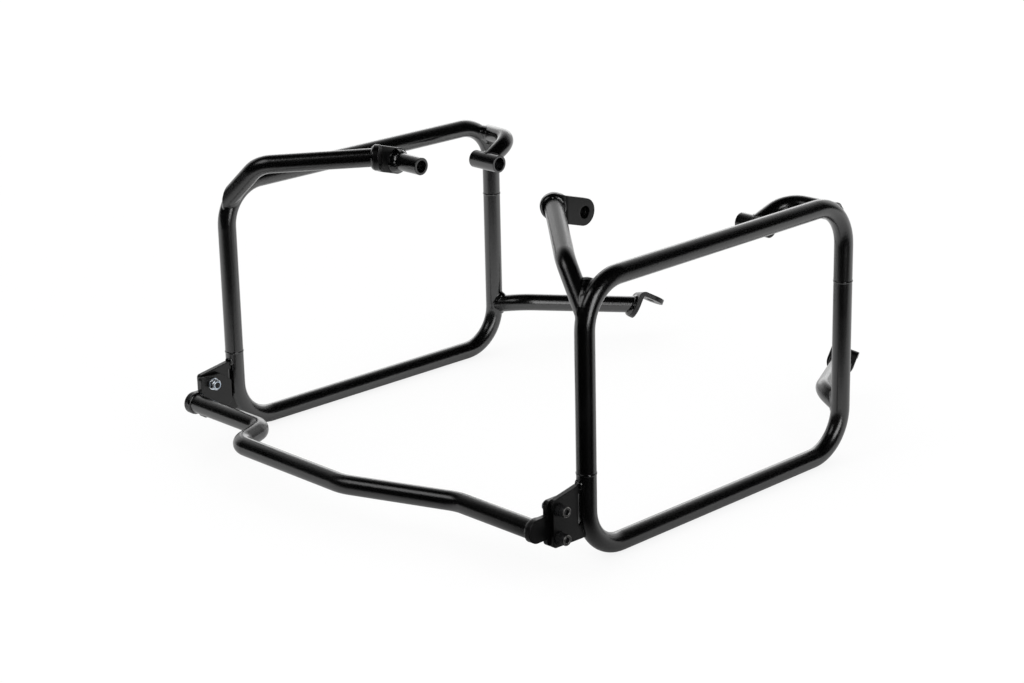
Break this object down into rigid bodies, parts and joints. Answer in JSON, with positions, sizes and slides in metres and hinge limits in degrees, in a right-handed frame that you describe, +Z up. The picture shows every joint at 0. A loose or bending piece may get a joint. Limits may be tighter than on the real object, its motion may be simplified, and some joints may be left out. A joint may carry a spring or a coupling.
{
  "type": "pannier frame",
  "caption": "Bolt-on motorbike pannier frame: upright tube hoops at each side, bent mounting arms with straps and bosses, and a cranked cross bar bolted between them.",
  "frame": {"origin": "middle of the frame's box, on the ground that the hoops stand on", "axes": "+X to the bike's right, +Y to its front, +Z up"},
  "size_m": [0.5112, 0.6123, 0.2994],
  "materials": {
    "powder_coat": "satin",
    "black_bolt": "satin",
    "zinc": "satin"
  },
  "bodies": {
    "root": {"left_hoop_upper": "powder_coat", "left_hoop_lower": "powder_coat", "right_hoop_upper": "powder_coat", "right_hoop_lower": "powder_coat", "left_rear_arm": "powder_coat", "left_rear_strap": "powder_coat", "left_spigot": "powder_coat", "right_rear_arm": "powder_coat", "right_rear_strap": "powder_coat", "right_spigot": "powder_coat", "left_front_arm": "powder_coat", "left_front_boss": "powder_coat", "right_front_arm": "powder_coat", "right_front_boss": "powder_coat", "left_peg_arm": "powder_coat", "left_peg_strap": "powder_coat", "right_peg_arm": "powder_coat", "right_peg_strap": "powder_coat", "cross_bar": "powder_coat", "left_gusset": "powder_coat", "left_bar_plate": "powder_coat", "right_gusset": "powder_coat", "right_bar_plate": "powder_coat", "left_bolts": "black_bolt", "left_head_washers": "black_bolt", "left_spring_washers": "black_bolt", "left_nut_washers": "zinc", "left_lock_nuts": "zinc", "right_bolts": "black_bolt", "right_head_washers": "black_bolt", "right_spring_washers": "black_bolt", "right_nut_washers": "zinc", "right_lock_nuts": "zinc"}
  },
  "joints": []
}
